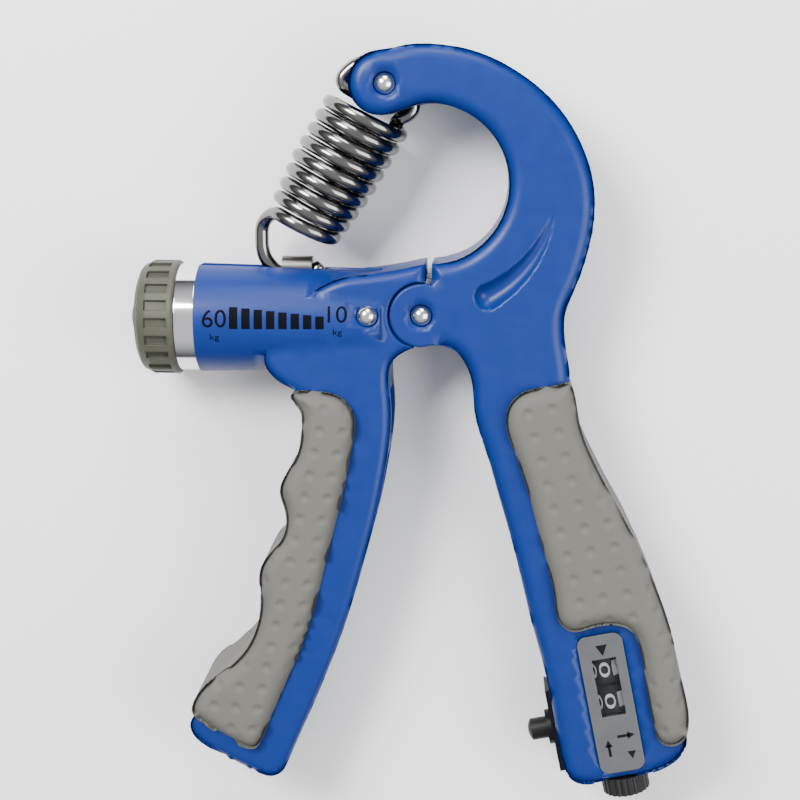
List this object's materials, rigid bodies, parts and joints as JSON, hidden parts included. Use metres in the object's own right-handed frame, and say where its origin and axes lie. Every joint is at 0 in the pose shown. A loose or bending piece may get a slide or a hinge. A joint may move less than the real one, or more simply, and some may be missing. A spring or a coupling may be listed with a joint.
{
  "type": "adjustable hand grip strengthener",
  "caption": "Sprung hand exerciser: two hinged handles with soft grips, a C-shaped arm pulling a coil spring set by a screw knob, and a press counter in the palm handle.",
  "frame": {"origin": "bottom centre of the object's box, as it lies on its side on the back faces of its two soft grips", "axes": "+X from the adjuster knob towards the arm, +Y from the handles' feet towards the arm's top, +Z through the thickness, along the hinge pin"},
  "size_m": [0.1169, 0.1573, 0.024],
  "materials": {
    "blue_plastic": "satin moulded ABS",
    "grip_rubber": "soft dimpled overlay",
    "knob_plastic": "moulded, ribbed",
    "collar_chrome": "bright",
    "rivet_chrome": "bright, domed",
    "spring_steel": "dark polished nickel",
    "nut_steel": "dark",
    "screw_steel": "plain",
    "washer_steel": "plain",
    "black_plastic": "moulded",
    "label_grey": "silver-grey printed plate",
    "window_clear": "clear",
    "wheel_plastic": "dark with light digits"
  },
  "bodies": {
    "finger_handle": {"finger_body": "blue_plastic", "finger_grip": "grip_rubber", "barrel_collar": "collar_chrome", "stop_pin": "rivet_chrome", "hinge_pin": "rivet_chrome", "hinge_washer_front": "washer_steel", "hinge_washer_back": "washer_steel"},
    "palm_handle": {"palm_body": "blue_plastic", "palm_grip": "grip_rubber", "spring_pin": "rivet_chrome", "counter_case": "black_plastic", "counter_bezel": "black_plastic", "counter_label": "label_grey", "counter_window": "window_clear", "plunger_spring": "spring_steel"},
    "adjuster": {"adjuster_knob": "knob_plastic", "knob_cap": "knob_plastic", "adjuster_screw": "screw_steel"},
    "nut": {"travelling_nut": "nut_steel"},
    "spring_end": {"spring_hook_end": "spring_steel", "spring_hook": "spring_steel"},
    "spring_base": {"spring_coils_lower": "spring_steel"},
    "spring_middle": {"spring_coils_upper": "spring_steel"},
    "spring_top": {"spring_loop": "spring_steel"},
    "plunger": {"plunger": "black_plastic", "pawl": "black_plastic"},
    "reset": {"reset_knob": "black_plastic", "wheel_shaft": "screw_steel"},
    "units": {"units_wheel": "wheel_plastic", "ratchet_wheel": "black_plastic"},
    "tens": {"tens_wheel": "wheel_plastic"}
  },
  "joints": [
    {"name": "squeeze", "type": "hinge", "parent": "finger_handle", "child": "palm_handle", "pos_m": [0.0022, 0.0247, 0.012], "axis": [0, 0, -1], "range_deg": [0, 28], "stiffness_Nm_per_rad": 6, "springref_deg": -20.05, "deforming": ["spring_hook_end", "spring_hook", "spring_coils_lower", "spring_coils_upper", "spring_loop"]},
    {"name": "knob_turn", "type": "hinge", "parent": "finger_handle", "child": "adjuster", "pos_m": [-0.0518, 0.0231, 0.012], "axis": [1, 0, 0], "range_deg": [-1746, 3782]},
    {"name": "nut_travel", "type": "slide", "parent": "finger_handle", "child": "nut", "axis": [1, 0, 0], "range_m": [-0.013, 0.006], "deforming": ["spring_hook_end", "spring_hook", "spring_coils_lower", "spring_coils_upper", "spring_loop"]},
    {"name": "spring_swing_squeeze", "type": "hinge", "parent": "nut", "child": "spring_end", "pos_m": [-0.0242, 0.0316, 0.012], "axis": [0, 0, -1], "range_deg": [-0.5, 20.95]},
    {"name": "spring_swing_adjust", "type": "hinge", "parent": "spring_end", "child": "spring_base", "pos_m": [-0.0242, 0.0316, 0.012], "axis": [0, 0, -1], "range_deg": [-5.17, 11.2]},
    {"name": "spring_stretch_squeeze", "type": "slide", "parent": "spring_base", "child": "spring_middle", "axis": [0.4353, 0.9003, 0], "range_m": [-0.0002, 0.01316]},
    {"name": "spring_stretch_adjust", "type": "slide", "parent": "spring_middle", "child": "spring_top", "axis": [0.4353, 0.9003, 0], "range_m": [-0.00385, 0.00834]},
    {"name": "plunger_press", "type": "slide", "parent": "palm_handle", "child": "plunger", "axis": [0.9799, 0.1994, 0], "range_m": [0, 0.003], "stiffness_N_per_m": 250, "springref_m": -0.002, "deforming": ["plunger_spring"]},
    {"name": "reset_turn", "type": "hinge", "parent": "palm_handle", "child": "reset", "pos_m": [0.04559, -0.07336, 0.0156], "axis": [0.1994, -0.9799, 0], "continuous": true},
    {"name": "units_turn", "type": "hinge", "parent": "palm_handle", "child": "units", "pos_m": [0.0422, -0.0567, 0.0156], "axis": [0.1994, -0.9799, 0], "continuous": true},
    {"name": "tens_turn", "type": "hinge", "parent": "palm_handle", "child": "tens", "pos_m": [0.0408, -0.04984, 0.0156], "axis": [0.1994, -0.9799, 0], "continuous": true}
  ],
  "couplings": [
    {"joint": "knob_turn", "follows": "nut_travel", "rad_per_m": -5026.5},
    {"joint": "spring_swing_squeeze", "follows": "squeeze", "ratio": 0.73361},
    {"joint": "spring_swing_adjust", "follows": "nut_travel", "rad_per_m": -14.738},
    {"joint": "spring_stretch_squeeze", "follows": "squeeze", "m_per_rad": 0.026404},
    {"joint": "spring_stretch_adjust", "follows": "nut_travel", "ratio": -0.62912}
  ]
}
